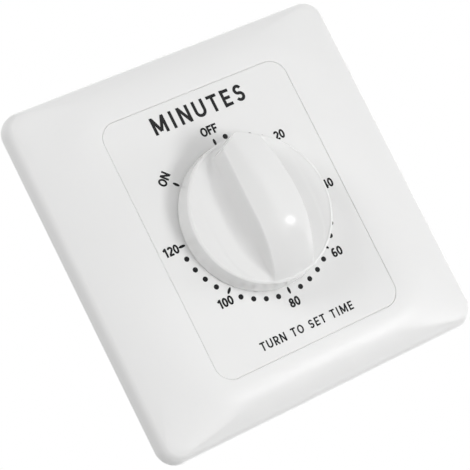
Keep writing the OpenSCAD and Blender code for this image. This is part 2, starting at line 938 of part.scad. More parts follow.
module load_terminal() {
  color(brass) upright() {
    terminal_strip(load_y + brass_t);
    difference() {
      block([contact_x - 2.4, strip_x - brass_t], [load_y, load_y + brass_t], tab_span);
      translate([contact_x, 0, blade_z]) cross_bar(contact_r / 2, 0, load_y + 2);
    }
  }
}

clamp_z = pad_top - brass_t;

module clamp_washers() {
  color(steel) upright() for (s = [-1, 1]) translate([s * clamp_at[0], clamp_at[1], 0])
    difference() {
      prism(clamp_z - clamp_t, clamp_z) square(clamp_w, center = true);
      bar(term_shank + 0.2, back_z, 0);
    }
}

module terminal_screws() {
  color(steel) upright() for (s = [-1, 1]) translate([s * clamp_at[0], clamp_at[1], 0])
    mirror([0, 0, 1])
      pan_screw(term_shank, term_head, 2.2, clamp_t - clamp_z, -pad_top - well_t - 2);
}

case_screw_r = pillar_r - 1.2 - seat_fit;
case_head_r = 2.1;
case_head_h = 1.5;
case_seat_z = back_z + case_head_h + 0.3;

module case_screws() {
  color(steel) upright() for (c = corners) translate(c * pillar_at)
    mirror([0, 0, 1]) pan_screw(case_screw_r, case_head_r, case_head_h, -case_seat_z, -rear_z - 4.5);
}

// Outer walls of one terminal well, on the +x side
module well_walls() {
  block([well_x - well_t, well_x + well_w + well_t], [-case_in / 2 - eps, well_y + well_t],
        [case_in_z - eps, well_z + well_t]);
}

module well_space() {
  block([well_x, well_x + well_w], [-case_w, well_y], [back_z - 1, well_z]);
  translate(clamp_at) bar(term_shank + 0.1, well_z - 1, well_z + well_t + 1);
  block([well_x + well_w - 1, strip_x], [strip_low - 0.1, well_y - 0.3],
        [pad_top - brass_t - 0.1, pad_top]);
}

module case() {
  color(ivory) upright()
    difference() {
      union() {
        difference() {
          prism(back_z, train_z) round_rect(case_w, case_w, case_r);
          prism(case_in_z, train_z + 1) round_rect(case_in, case_in, case_r - case_t / 2);
        }
        intersection() {
          prism(back_z, switch_z) round_rect(case_w, case_w, case_r);
          for (c = corners) translate(c * pillar_at) bar(pillar_r + 1.4, back_z, switch_z);
        }
        bar(tail_d / 2 + 2, case_in_z - eps, tail_z - 0.3);
        for (s = [0, 1]) mirror([s, 0, 0]) well_walls();
      }
      for (s = [0, 1]) mirror([s, 0, 0]) well_space();
      bar(tail_d / 2 + run_fit, case_in_z - 1, tail_z + 1);
      for (c = corners) translate(c * pillar_at) {
        bar(case_screw_r + 0.1, back_z - 1, switch_z + 1);
        bar(case_head_r + 0.3, back_z - 1, case_seat_z);
      }
    }
}

cover_frame();
mounting_plate();
knob();
knob_clip();
timer_screws();
main_arbor();
front_bush();
front_plate();
rear_plate();
pillars();
mainspring();
spring_post();
clutch_washer();
retaining_ring();
main_wheel();
second_wheel();
third_wheel();
fourth_wheel();
escape_wheel();
pallet_lever();
switch_cam();
stop_pin();
contact_blade();
cam_follower();
moving_contact();
blade_rivets();
line_terminal();
load_terminal();
fixed_contact();
clamp_washers();
terminal_screws();
case();
case_screws();
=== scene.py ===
import math

import bmesh
import bpy
import numpy as np
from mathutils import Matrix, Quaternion, Vector


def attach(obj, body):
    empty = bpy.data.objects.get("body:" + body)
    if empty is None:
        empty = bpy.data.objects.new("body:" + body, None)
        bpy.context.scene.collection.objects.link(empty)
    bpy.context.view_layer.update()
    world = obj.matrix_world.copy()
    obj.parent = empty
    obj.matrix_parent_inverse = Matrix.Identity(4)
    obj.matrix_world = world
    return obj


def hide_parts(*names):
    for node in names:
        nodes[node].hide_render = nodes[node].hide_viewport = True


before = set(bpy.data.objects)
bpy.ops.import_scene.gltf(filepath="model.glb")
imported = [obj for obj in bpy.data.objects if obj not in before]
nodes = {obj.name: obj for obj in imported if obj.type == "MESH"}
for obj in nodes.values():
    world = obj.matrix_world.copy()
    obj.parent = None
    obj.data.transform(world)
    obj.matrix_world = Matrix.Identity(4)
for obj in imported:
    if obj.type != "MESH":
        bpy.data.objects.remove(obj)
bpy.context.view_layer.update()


# Clockwork plates, pillars, screws and small fittings: zinc-plated steel, punched from strip or turned
# from bar. The plates are riveted on four pillars. Screws hold the clockwork to the dial, the case to
# the pillars and the clamps to the terminals.
class Wire:
    """One socket of a node tree. Sums and products of wires add Math nodes."""

    def __init__(self, tree, socket=None):
        self.tree = tree
        self.socket = socket

    def node(self, kind, settings=None, sockets=None, out=0):
        """Adds a node, sets it up, fills or links its sockets, and gives the wire from one output."""
        made = self.tree.nodes.new("ShaderNode" + kind)
        for key, value in (settings or {}).items():
            setattr(made, key, value)
        for key, value in (sockets or {}).items():
            if isinstance(value, Wire):
                self.tree.links.new(value.socket, made.inputs[key])
            else:
                made.inputs[key].default_value = value
        return Wire(self.tree, made.outputs[out])

    def to(self, socket):
        """Links this wire to a socket of a shader."""
        self.tree.links.new(self.socket, socket)

    def reckoned(self, operation, a, b):
        """Wire from a Math node that works on two wires or numbers."""
        return self.node("Math", {"operation": operation}, {0: a, 1: b})

    def __add__(self, other):
        return self.reckoned("ADD", self, other)

    def __radd__(self, other):
        return self.reckoned("ADD", other, self)

    def __mul__(self, other):
        return self.reckoned("MULTIPLY", self, other)

    def __rmul__(self, other):
        return self.reckoned("MULTIPLY", other, self)


def new_finish(name, **fixed):
    """A material with its shader's constant sockets set; gives it, a wire of its tree and the shader."""
    finish = bpy.data.materials.new(name)
    finish.use_nodes = True
    shader = finish.node_tree.nodes["Principled BSDF"]
    for key, value in fixed.items():
        shader.inputs[key.replace("_", " ")].default_value = value
    return finish, Wire(finish.node_tree), shader


def cloud(tree, size, stretch=(1, 1, 1), detail=3.0):
    """Soft noise from 0 to 1 whose lumps are about size metres, longer along an axis stretched below 1."""
    place = tree.node("TexCoord", out="Object")
    place = tree.node("Mapping", {"vector_type": "POINT"}, {"Vector": place, "Scale": stretch})
    return tree.node("TexNoise", {"noise_dimensions": "3D"},
                     {"Vector": place, "Scale": 1 / size, "Detail": detail, "Roughness": 0.55})


def tinted(tree, share, dark, light):
    """Colour that goes from dark to light as share goes from 0 to 1."""
    return tree.node("Mix", {"data_type": "RGBA"}, {0: share, 6: (*dark, 1), 7: (*light, 1)}, out=2)


def bumped(tree, height, shader, deep):
    """Relief of the given height from 0 to 1, deep metres from low to high."""
    relief = tree.node("Bump", None, {"Height": height, "Distance": deep, "Strength": 1.0})
    relief.to(shader.inputs["Normal"])


def dress(finish, *names):
    """Puts a finish on every slot of the named solids."""
    for name in names:
        for slot in nodes[name].material_slots:
            slot.material = finish


zinc, tree, shader = new_finish("zinc_plated_steel", Metallic=1.0)
mottle = cloud(tree, size=0.004)
grain = cloud(tree, size=0.0006, stretch=(1, 1, 0.08))
tinted(tree, mottle, dark=(0.50, 0.51, 0.53), light=(0.68, 0.69, 0.70)).to(shader.inputs["Base Color"])
(0.26 + 0.14 * mottle + 0.08 * grain).to(shader.inputs["Roughness"])
bumped(tree, grain, shader, deep=0.000006)
dress(zinc, "front_plate", "rear_plate", "pillars", "spring_post", "stop_pin", "timer_screws",
      "case_screws", "terminal_screws", "clamp_washers", "blade_rivets")


# Shaft, pallet lever, clutch and knob ring: bright drawn or ground steel, with fine rings round the
# shaft from turning. The mainspring is blued steel strip, coiled from the shaft out to a post on the
# front plate.
bright, tree, shader = new_finish("ground_steel", Metallic=1.0)
mottle = cloud(tree, size=0.003)
rings = cloud(tree, size=0.0004, stretch=(0.05, 1, 0.05))
tinted(tree, mottle, dark=(0.55, 0.55, 0.56), light=(0.70, 0.70, 0.71)).to(shader.inputs["Base Color"])
(0.20 + 0.12 * rings).to(shader.inputs["Roughness"])
bumped(tree, rings, shader, deep=0.000004)
dress(bright, "main_arbor", "pallet_lever", "clutch_washer", "retaining_ring", "knob_clip")

blued, tree, shader = new_finish("blued_spring_steel", Metallic=1.0)
mottle = cloud(tree, size=0.005)
tinted(tree, mottle, dark=(0.16, 0.17, 0.20), light=(0.30, 0.31, 0.34)).to(shader.inputs["Base Color"])
(0.28 + 0.14 * mottle).to(shader.inputs["Roughness"])
bumped(tree, cloud(tree, size=0.0005), shader, deep=0.000004)
dress(blued, "mainspring")


# Wheels, cam and follower: natural nylon mouldings, milky and slightly waxy. The wheels of the train are
# one piece with pinion and arbor, the main wheel and the cam sit on the shaft, and the follower's stem
# goes through the contact blade.
nylon, tree, shader = new_finish("natural_nylon", IOR=1.53)
milk = cloud(tree, size=0.006)
tinted(tree, milk, dark=(0.70, 0.68, 0.60), light=(0.78, 0.76, 0.69)).to(shader.inputs["Base Color"])
(0.36 + 0.12 * milk).to(shader.inputs["Roughness"])
bumped(tree, cloud(tree, size=0.0003), shader, deep=0.000006)
dress(nylon, "main_wheel", "second_wheel", "third_wheel", "fourth_wheel", "escape_wheel",
      "switch_cam", "cam_follower")


# Bush, contact blade and terminals: rolled brass strip and turned brass, a little tarnished, with silver
# contacts. The bush is headed over behind the front plate, the blade is riveted to one terminal, and
# both terminals stand along the case's walls, each with a pad in a well at the back.
brass, tree, shader = new_finish("rolled_brass", Metallic=1.0)
tarnish = cloud(tree, size=0.005)
rolled = cloud(tree, size=0.0005, stretch=(1, 0.1, 1))
tinted(tree, tarnish, dark=(0.55, 0.38, 0.14), light=(0.74, 0.56, 0.25)).to(shader.inputs["Base Color"])
(0.24 + 0.16 * tarnish + 0.06 * rolled).to(shader.inputs["Roughness"])
bumped(tree, rolled, shader, deep=0.000005)
dress(brass, "front_bush", "contact_blade", "line_terminal", "load_terminal")

silver, tree, shader = new_finish("contact_silver", Metallic=1.0)
haze = cloud(tree, size=0.001)
tinted(tree, haze, dark=(0.72, 0.71, 0.68), light=(0.86, 0.86, 0.84)).to(shader.inputs["Base Color"])
(0.18 + 0.18 * haze).to(shader.inputs["Roughness"])
bumped(tree, cloud(tree, size=0.0002), shader, deep=0.000003)
dress(silver, "moving_contact", "fixed_contact")


# Case: a deep box moulded in heat-resistant plastic, duller and warmer than the front.
# It has the fine spark-eroded texture of the mould, and four screws from behind hold it to the pillars.
housing, tree, shader = new_finish("heat_resistant_moulding", IOR=1.5)
flow = cloud(tree, size=0.02)
sparks = cloud(tree, size=0.00035, detail=4.0)
tinted(tree, flow, dark=(0.66, 0.65, 0.60), light=(0.72, 0.71, 0.66)).to(shader.inputs["Base Color"])
(0.48 + 0.14 * sparks).to(shader.inputs["Roughness"])
bumped(tree, sparks, shader, deep=0.000025)
dress(housing, "case")


# Mounting plate and dial: one white moulding with a satin face; the dial stands up through the
# frame's window. The clockwork is screwed to its back and the wall screws go through its wings.
def white_moulding(name, low, high, matt, texture, deep, **fixed):
    """White plastic whose shade drifts from low to high, with a fine mould texture in its surface."""
    finish, tree, shader = new_finish(name, IOR=1.5, **fixed)
    drift = cloud(tree, size=0.03)
    skin = cloud(tree, size=texture, detail=4.0)
    tinted(tree, drift, low, high).to(shader.inputs["Base Color"])
    (matt + 0.08 * skin + 0.05 * drift).to(shader.inputs["Roughness"])
    bumped(tree, skin, shader, deep)
    return finish


satin = white_moulding("satin_white_moulding", low=(0.785, 0.785, 0.780), high=(0.805, 0.805, 0.802),
                       matt=0.34, texture=0.0004, deep=0.000008)
dress(satin, "mounting_plate")


# Print on the dial: dots every four minutes, ticks every twenty, numbers, the two switch words, a
# heading and a line on setting the time, pad-printed in near-black ink that stands up a little.
DIAL_FACE = 0.008
INK_THICK = 0.00003
INK_SUNK = 0.3
INK_LAYER = 0.1
MINUTE_TURN = 2.25
DOT_TURN = 9
TICK_TURN = 45
FULL_TURN = 270

ink, tree, shader = new_finish("pad_print_ink", IOR=1.45, Specular_IOR_Level=0.2)
wear = cloud(tree, size=0.0005)
tinted(tree, wear, dark=(0.008, 0.008, 0.009), light=(0.018, 0.018, 0.019)).to(shader.inputs["Base Color"])
(0.50 + 0.2 * wear).to(shader.inputs["Roughness"])
bumped(tree, wear, shader, deep=0.000004)


def stand_up(points):
    """Plate coordinates, x right, y up and z out of the wall, turned to the upright frame."""
    return np.stack([points[..., 0], -points[..., 2], points[..., 1]], axis=-1)


def piece(name, points, faces, finish, body, slot, smooth=True, mirrored=False):
    """A mesh from an array of points and a list of faces, closed where points fall together, riding
    on a body. One with mirrored copies has its faces turned outward."""
    mesh = bpy.data.meshes.new(name)
    mesh.from_pydata(points.reshape(-1, 3).tolist(), [], [list(face) for face in faces])
    shape = bmesh.new()
    shape.from_mesh(mesh)
    bmesh.ops.remove_doubles(shape, verts=shape.verts, dist=1e-7)
    if mirrored:
        bmesh.ops.recalc_face_normals(shape, faces=shape.faces)
    shape.to_mesh(mesh)
    shape.free()
    mesh.polygons.foreach_set("use_smooth", np.full(len(mesh.polygons), smooth))
    mesh.materials.append(finish)
    mesh.update()
    made = bpy.data.objects.new(name, mesh)
    bpy.context.collection.objects.link(made)
    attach(made, body)
    return made


def grid_faces(rows, columns, round_rows=False, round_columns=False):
    """Quads between neighbours of a grid of points, which may close on itself either way."""
    index = np.arange(rows * columns).reshape(rows, columns)
    if round_rows:
        index = np.vstack([index, index[:1]])
    if round_columns:
        index = np.hstack([index, index[:, :1]])
    quads = np.stack([index[:-1, :-1], index[:-1, 1:], index[1:, 1:], index[1:, :-1]], axis=-1)
    return quads.reshape(-1, 4)


def clock_place(radius, turn):
    """Point at a radius and a clockwise turn in degrees from twelve o'clock."""
    turn = np.radians(turn)
    return np.stack([radius * np.sin(turn), radius * np.cos(turn)], axis=-1)


def printed_spots(name, turns, radius, half_width, half_length):
    """Low rounded pads of ink: an ellipse in five rings, from the dial up over a rounded edge to the
    middle, copied to a radius at each turn and turned to point at the dial's centre."""
    turns = np.asarray(turns, float)
    around = np.radians(np.arange(0, 360, 15))
    share = np.array([1.0, 1.0, 0.93, 0.5, 0.001])
    lift = np.array([-INK_SUNK, 0.6, 1.0, 1.0, 1.0]) * INK_THICK + DIAL_FACE
    across = share[:, None] * half_width * np.cos(around)
    along = share[:, None] * half_length * np.sin(around)
    angle = np.radians(turns)[:, None, None]
    middle = clock_place(radius, turns)[:, None, None, :]
    x = middle[..., 0] + across * np.cos(angle) + along * np.sin(angle)
    y = middle[..., 1] - across * np.sin(angle) + along * np.cos(angle)
    points = stand_up(np.stack([x, y, np.broadcast_to(lift[:, None], x.shape)], axis=-1))
    one = grid_faces(len(share), len(around), round_columns=True)
    step = len(share) * len(around)
    faces = (one[None] + step * np.arange(len(turns))[:, None, None]).reshape(-1, 4)
    piece(name, points, faces, ink, "switch_body", "white_plastic")


dot_turns = np.arange(0, FULL_TURN + 1, DOT_TURN)
tick_turns = np.arange(-TICK_TURN, FULL_TURN + 1, TICK_TURN)
printed_spots("dial_dots", dot_turns[dot_turns % TICK_TURN != 0], radius=0.0193,
              half_width=0.00062, half_length=0.00062)
printed_spots("dial_ticks", tick_turns, radius=0.01875, half_width=0.00033, half_length=0.00085)


def bow(x, y, wide, high, start, end):
    """Part of an ellipse about (x, y), from one angle to another in degrees."""
    turn = np.radians(np.linspace(start, end, 2 + abs(end - start) // 12))
    return np.stack([x + wide * np.cos(turn), y + high * np.sin(turn)], axis=-1)


def line(*ends):
    """Straight stroke between two points."""
    return np.array(ends, float).reshape(2, 2)


# Width of each letter and the middle lines of its strokes, for a letter of height 1.
STROKE = 0.105
LETTERS = {
    "0": (0.64, [bow(0.32, 0.5, 0.20, 0.395, 0, 360)]),
    "1": (0.52, [line(0.34, 0, 0.34, 1), line(0.08, 0.72, 0.34, 0.92)]),
    "2": (0.64, [bow(0.32, 0.685, 0.20, 0.21, 165, -45), line(0.47, 0.55, 0.12, 0.12),
                 line(0.06, 0.10, 0.59, 0.10)]),
    "4": (0.66, [line(0.45, 0, 0.45, 1), line(0.43, 0.94, 0.09, 0.30), line(0.02, 0.27, 0.63, 0.27)]),
    "6": (0.64, [bow(0.32, 0.305, 0.20, 0.20, 0, 360), bow(0.34, 0.50, 0.22, 0.395, 55, 205)]),
    "8": (0.64, [bow(0.32, 0.715, 0.165, 0.18, 0, 360), bow(0.32, 0.295, 0.20, 0.19, 0, 360)]),
    "O": (0.82, [bow(0.41, 0.5, 0.29, 0.395, 0, 360)]),
    "F": (0.60, [line(0.13, 0, 0.13, 1), line(0.13, 0.895, 0.58, 0.895), line(0.13, 0.50, 0.52, 0.50)]),
    "N": (0.78, [line(0.13, 0, 0.13, 1), line(0.65, 0, 0.65, 1), line(0.15, 0.94, 0.63, 0.06)]),
    "M": (0.94, [line(0.13, 0, 0.13, 1), line(0.81, 0, 0.81, 1), line(0.15, 0.93, 0.47, 0.14),
                 line(0.79, 0.93, 0.47, 0.14)]),
    "I": (0.36, [line(0.18, 0, 0.18, 1)]),
    "U": (0.78, [bow(0.39, 0.365, 0.26, 0.26, 180, 360), line(0.13, 0.36, 0.13, 1),
                 line(0.65, 0.36, 0.65, 1)]),
    "T": (0.66, [line(0.33, 0, 0.33, 0.9), line(0.02, 0.895, 0.64, 0.895)]),
    "E": (0.62, [line(0.13, 0, 0.13, 1), line(0.13, 0.895, 0.58, 0.895), line(0.13, 0.50, 0.54, 0.50),
                 line(0.13, 0.105, 0.58, 0.105)]),
    "S": (0.64, [bow(0.32, 0.695, 0.19, 0.20, 20, 270), bow(0.32, 0.305, 0.20, 0.20, 90, -160)]),
    "R": (0.66, [line(0.13, 0, 0.13, 1), line(0.13, 0.895, 0.36, 0.895), line(0.13, 0.44, 0.36, 0.44),
                 bow(0.34, 0.668, 0.21, 0.2275, 90, -90), line(0.30, 0.42, 0.57, 0)]),
    " ": (0.42, [])}


def inked(path, layer, stroke):
    """Raised stroke: a flat-topped section of four points carried along a path, with an end face at
    each end unless the path closes on itself. Each layer stands a little higher than the last."""
    loop = np.allclose(path[0], path[-1])
    path = path[:-1] if loop else path
    ahead = np.roll(path, -1, 0) - np.roll(path, 1, 0) if loop else np.gradient(path, axis=0)
    aside = np.stack([-ahead[:, 1], ahead[:, 0]], axis=-1) / np.linalg.norm(ahead, axis=1)[:, None]
    points = path[:, None] + stroke * aside[:, None] * np.array([-1, -1, 1, 1])[:, None]
    top = 1 + INK_LAYER * layer
    lift = DIAL_FACE + INK_THICK * np.array([-INK_SUNK, top, top, -INK_SUNK])
    faces = grid_faces(len(path), 4, loop, True).tolist()
    if not loop:
        faces += [[0, 1, 2, 3], [4 * len(path) - back for back in (1, 2, 3, 4)]]
    return points.reshape(-1, 2), np.tile(lift, len(path)), faces


def printed_words(name, words, height, spread=0.0, stroke=STROKE):
    """Lettering as raised ink: the strokes of each word, centred on its point of the dial and turned
    there. The letters can be spread apart by a share of their height."""
    points, faces, count = [], [], 0
    for text, middle, turn in words:
        pen = -sum(LETTERS[letter][0] + spread for letter in text) / 2 + spread / 2
        along = np.array([math.cos(math.radians(turn)), -math.sin(math.radians(turn))])
        for letter in text:
            width, strokes = LETTERS[letter]
            for layer, path in enumerate(strokes):
                flat, lift, sides = inked(path, layer, stroke)
                flat = height * (flat + [pen, -0.5])
                flat = flat[:, :1] * along + flat[:, 1:] * [-along[1], along[0]] + middle
                points.append(stand_up(np.column_stack([flat, lift])))
                faces += [[count + corner for corner in face] for face in sides]
                count += len(flat)
            pen += width + spread
    piece(name, np.concatenate(points), faces, ink, "switch_body", "white_plastic", False, True)


NUMBERS_AT = 0.0216
WORDS_AT = 0.0218
NUDGED = {20: [0.0003, -0.0006], 40: [-0.0005, -0.0001]}
minutes = [(str(minute), clock_place(NUMBERS_AT, minute * MINUTE_TURN) + NUDGED.get(minute, [0, 0]), 0)
           for minute in range(20, 121, 20)]
switch_words = [("OFF", clock_place(WORDS_AT, 0), 0), ("ON", clock_place(WORDS_AT, -TICK_TURN), -TICK_TURN)]
printed_words("dial_numbers", minutes, height=0.0022)
printed_words("dial_words", switch_words, height=0.0022)
printed_words("dial_heading", [("MINUTES", (0.0, 0.0272), 0)], height=0.0042, spread=0.19, stroke=0.088)
printed_words("dial_hint", [("TURN TO SET TIME", (0.0001, -0.0277), 0)], height=0.0021, spread=0.13,
              stroke=0.085)


# Cover frame: a square convex white moulding that hides the wall screws. It clips on with four
# hooks, and its window fits closely round the dial, with a lip over the dial's bevelled edge.
PLATE = np.array([0.086, 0.086])
PLATE_ROUND = 0.005
WINDOW = np.array([0.05002, 0.06402])
WINDOW_ROUND = 0.00451
CREST_IN = 0.0015
EDGE_HIGH = 0.0048
WALL_TOP = (0.0, 0.0012)
ROLL_OUT = (0.0001, 0.0040)
CROWN_LATE = 0.3
CORNER_SOFT = 0.065
LIP_ROUND = 0.00012
OVER_BEVEL = 0.0003
LIP_DEEP = 0.00048
SHELL = 0.002
WINDOW_WALL = 0.0016
WALL_FOOT = 0.0024
HOLLOW_HIGH = 0.0052
HOLLOW_LOW = 0.0030
FOOT_BREAK = 0.0003

# Rows of the frame's section, as frame_profile explains them: the broken edge at the wall, and the
# underside from the lip round the window's wall and the hollow to the wall again.
FOOT_EDGE = [[0, 0.0006, 0], [0, 0.0002, 0], [0, 0, 0.0004]]
UNDERSIDE = [[1, OVER_BEVEL, DIAL_FACE - OVER_BEVEL + 0.00002], [1, 0, DIAL_FACE - LIP_DEEP],
             [1, 0, WALL_FOOT + 0.0002], [1, 0, WALL_FOOT], [1, -WINDOW_WALL, WALL_FOOT],
             [1, -WINDOW_WALL, HOLLOW_HIGH], [0, SHELL, HOLLOW_LOW], [0, SHELL, 0.0020],
             [0, SHELL, FOOT_BREAK], [0, SHELL - FOOT_BREAK, 0]]


def rounded_loops(width, height, radius, level, steps=16):
    """Rings of points round rectangles with round corners, one ring for each entry of the arrays:
    each corner is a quarter circle about its own centre, and the straight sides join the corners."""
    corner = np.arange(4).repeat(steps)
    turn = np.radians(90.0 * corner + np.tile(np.linspace(0, 90, steps), 4))
    across = np.where((corner == 0) | (corner == 3), 1, -1)
    upward = np.where(corner < 2, 1, -1)
    x = across * (width[:, None] / 2 - radius[:, None]) + radius[:, None] * np.cos(turn)
    y = upward * (height[:, None] / 2 - radius[:, None]) + radius[:, None] * np.sin(turn)
    return stand_up(np.stack([x, y, np.broadcast_to(level[:, None], x.shape)], axis=-1))


def frame_profile():
    """Section of the frame from the wall round to the wall again: outer wall, an edge rolled over on
    a quadratic curve, a crown that falls from the window by a square and a fourth power, a rounded
    lip over the dial's bevel, and the hollow underside. Each row has a share of the way from the
    outline to the window, an inset from there, and a height."""
    roll = np.linspace(0, 1, 13)[:, None]
    crest = (CREST_IN, EDGE_HIGH)
    rolled = (1 - roll) ** 2 * WALL_TOP + 2 * roll * (1 - roll) * ROLL_OUT + roll ** 2 * crest
    rise = np.linspace(0, 1, 25)[1:-1]
    fall = (1 - CROWN_LATE) * (1 - rise) ** 2 + CROWN_LATE * (1 - rise) ** 4
    crown = DIAL_FACE - (DIAL_FACE - EDGE_HIGH) * fall
    lip = np.radians(np.linspace(90, 0, 7))
    lip_in = OVER_BEVEL + LIP_ROUND * (np.cos(lip) - 1)
    lip_high = DIAL_FACE - LIP_ROUND * (1 - np.sin(lip))
    return np.concatenate([FOOT_EDGE, np.insert(rolled, 0, 0, axis=1),
                           np.column_stack([rise, 0 * rise, crown]),
                           np.column_stack([np.ones(7), lip_in, lip_high]), UNDERSIDE]).T


gloss = white_moulding("gloss_white_moulding", low=(0.790, 0.790, 0.786), high=(0.810, 0.810, 0.807),
                       matt=0.26, texture=0.0005, deep=0.000006)
share, inset, level = frame_profile()
start = np.where(share[:, None] > 0, PLATE - 2 * CREST_IN, PLATE)
sizes = start + (WINDOW - start) * share[:, None] - 2 * inset[:, None]

# The corners' radius goes from the edge to the window, and is larger between them, so that the crown
# turns the corner without a crease.
edge_round = PLATE_ROUND - CREST_IN
softer = CORNER_SOFT * share * (1 - share) ** 2
crown_round = edge_round + (WINDOW_ROUND - edge_round) * share + softer
bend = np.where(share > 0, crown_round, PLATE_ROUND) - inset
loops = rounded_loops(sizes[:, 0], sizes[:, 1], bend, level)
cover = piece("cover_shell", loops, grid_faces(*loops.shape[:2], True, True), gloss,
              "switch_body", "white_plastic")
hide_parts("cover_frame")

HOOK_AT = np.array([0.020, 0.035975])
HOOK_HALF = 0.004
HOOK_SIDE = np.array([[0, 0.3], [1.6, 0.3], [2.4, 0.75], [2.4, 1.2], [1.6, 1.2], [1.6, 5.2],
                      [0, 5.2]]) / 1000


def clip_hooks():
    """Four hooks: the side view of a hook carried along its width, mirrored to the four places."""
    points, faces = [], []
    corners = len(HOOK_SIDE)
    for across, upward in ((1, 1), (-1, 1), (1, -1), (-1, -1)):
        x = across * HOOK_AT[0] + np.array([-HOOK_HALF, HOOK_HALF])[:, None] + np.zeros(corners)
        y = upward * (HOOK_AT[1] + np.broadcast_to(HOOK_SIDE[:, 0], x.shape))
        z = np.broadcast_to(HOOK_SIDE[:, 1], x.shape)
        first = len(points) * 2 * corners
        sides = grid_faces(2, corners, round_columns=True) + first
        points.append(stand_up(np.stack([x, y, z], axis=-1)).reshape(-1, 3))
        faces += sides.tolist()
        faces += [range(first, first + corners), range(first + corners, first + 2 * corners)]
    return np.concatenate(points), faces


piece("cover_hooks", *clip_hooks(), gloss, "switch_body", "white_plastic", smooth=False, mirrored=True)


# Knob: one glossy white moulding, a round skirt with a shallow dish and a tall grip whose pointed
# end shows the time. It is pushed on the flat of the shaft and held there by a spring ring.
KNOB_R = 0.01735
KNOB_LOW = 0.0084
DISH = 0.0141
RIM = 0.0142
RIM_IN = 0.00084
RIM_WIDE = 0.0003
EDGE_ROUND = 0.0006
FLARE = 0.0204
CREST = 0.02349
CREST_ARCH = 0.042
CREST_BACK = 0.0005
TAIL_ARCH = 0.016
TAIL_FROM = 0.002
TAIL_LATE = 0.009
TAIL_FALL = 0.68
TAIL_BEND = 10000
CROWN_ROUND = 0.014
CROWN_REACH = 0.0138
SIDE_ROUND = 0.072
GRIP_HALF = 0.007
LEAN = math.radians(7)
TIP_AT = 0.0172
TIP_SLOPE = 0.56
TIP_ROUND = 0.0005
TIP_LEAN = 0.02
COVE_SIDE = 0.0034
COVE_END = 0.0010
AHEAD_FROM = 0.007
AHEAD_OVER = 0.008
BEHIND_FROM = 0.006
BEHIND_OVER = 0.009
CREASE = 0.0009
FOOT_CREASE = 0.0002
CEILING = 0.0125
BORE_TOP = 0.0204
GRIP_SHARE = 0.93
WALL_BAND = 0.0016
WALL_SHARE = 0.35
NEAR_FOOT = 0.4


def soft_min(a, b, blend):
    """The lower of two heights, with the crease between them rounded over a height of blend."""
    near = np.clip(0.5 + 0.5 * (b - a) / blend, 0, 1)
    return b + (a - b) * near - blend * near * (1 - near)


def eased(share):
    """A share kept within 0 and 1, with a level start and a level end."""
    share = np.clip(share, 0, 1)
    return share ** 2 * (3 - 2 * share)


def grip_side(y):
    """Half width of the grip's foot between its two wide rounds."""
    return np.sqrt(SIDE_ROUND ** 2 - y ** 2) - SIDE_ROUND + GRIP_HALF


def grip_half(y):
    """Half width of the grip's foot, cut off by the two straight sides of the blunt tip."""
    back = np.clip((TIP_AT - y) / TIP_SLOPE, 0, None)
    return np.minimum(grip_side(y), np.sqrt((back + TIP_ROUND) ** 2 - TIP_ROUND ** 2))


def crest_line(y):
    """Height of the crest along the grip: a wide arch over the middle, a tighter arch behind it, and
    from there a straight fall with a growing bend down to the rim."""
    middle = CREST - CREST_ARCH
    arch = middle + np.sqrt(CREST_ARCH ** 2 - (y + CREST_BACK) ** 2)
    lean = math.asin((CREST_BACK - TAIL_FROM) / CREST_ARCH)
    join = middle + CREST_ARCH * math.cos(lean)
    behind = np.clip(-y - TAIL_FROM - TAIL_ARCH * math.sin(lean), 0, None)
    late = np.clip(behind - TAIL_LATE, 0, None)
    tail = join - TAIL_ARCH * math.cos(lean) + np.sqrt(TAIL_ARCH ** 2 - np.minimum(behind, TAIL_LATE) ** 2)
    return np.where(y > -TAIL_FROM, arch, tail - TAIL_FALL * late - TAIL_BEND * late ** 3)


def knob_height(x, y):
    """Height of the knob over the wall: the dish with its low rim and rounded edge, and over it the
    grip, the lower of its walls and a round crown along the crest. The walls lean in and end in a
    round cove at the foot, which tightens towards both ends."""
    far = np.hypot(x, y)
    over = np.clip((far - KNOB_R + EDGE_ROUND) / EDGE_ROUND, 0, 1)
    rim = eased((far - KNOB_R + RIM_IN) / RIM_WIDE)
    base = DISH + (RIM - DISH) * rim - EDGE_ROUND * (1 - np.sqrt(1 - over ** 2))
    crown = np.sqrt(CROWN_ROUND ** 2 - np.clip(x, -CROWN_REACH, CROWN_REACH) ** 2)
    top = crest_line(y) - CROWN_ROUND + crown
    aside = np.abs(x) - grip_side(y)
    tip = y + TIP_SLOPE * (np.hypot(x, TIP_ROUND) - TIP_ROUND) - TIP_AT
    ahead = tip / math.hypot(1, TIP_SLOPE)
    walls = DISH - np.maximum(aside / math.tan(LEAN), ahead / TIP_LEAN)
    tight = eased(np.maximum((y - AHEAD_FROM) / AHEAD_OVER, (-y - BEHIND_FROM) / BEHIND_OVER))
    cove = COVE_SIDE + (COVE_END - COVE_SIDE) * tight
    reach = cove * (1 - math.sin(LEAN)) / math.cos(LEAN)
    away = np.minimum(reach - aside, (1 - TIP_LEAN) * cove - ahead)
    away = np.clip(away, 0, cove * math.cos(LEAN))
    coves = DISH + cove - np.sqrt(cove ** 2 - away ** 2)
    grip = soft_min(np.maximum(walls, coves), top, CREASE)
    return -soft_min(-base, -grip, FOOT_CREASE)


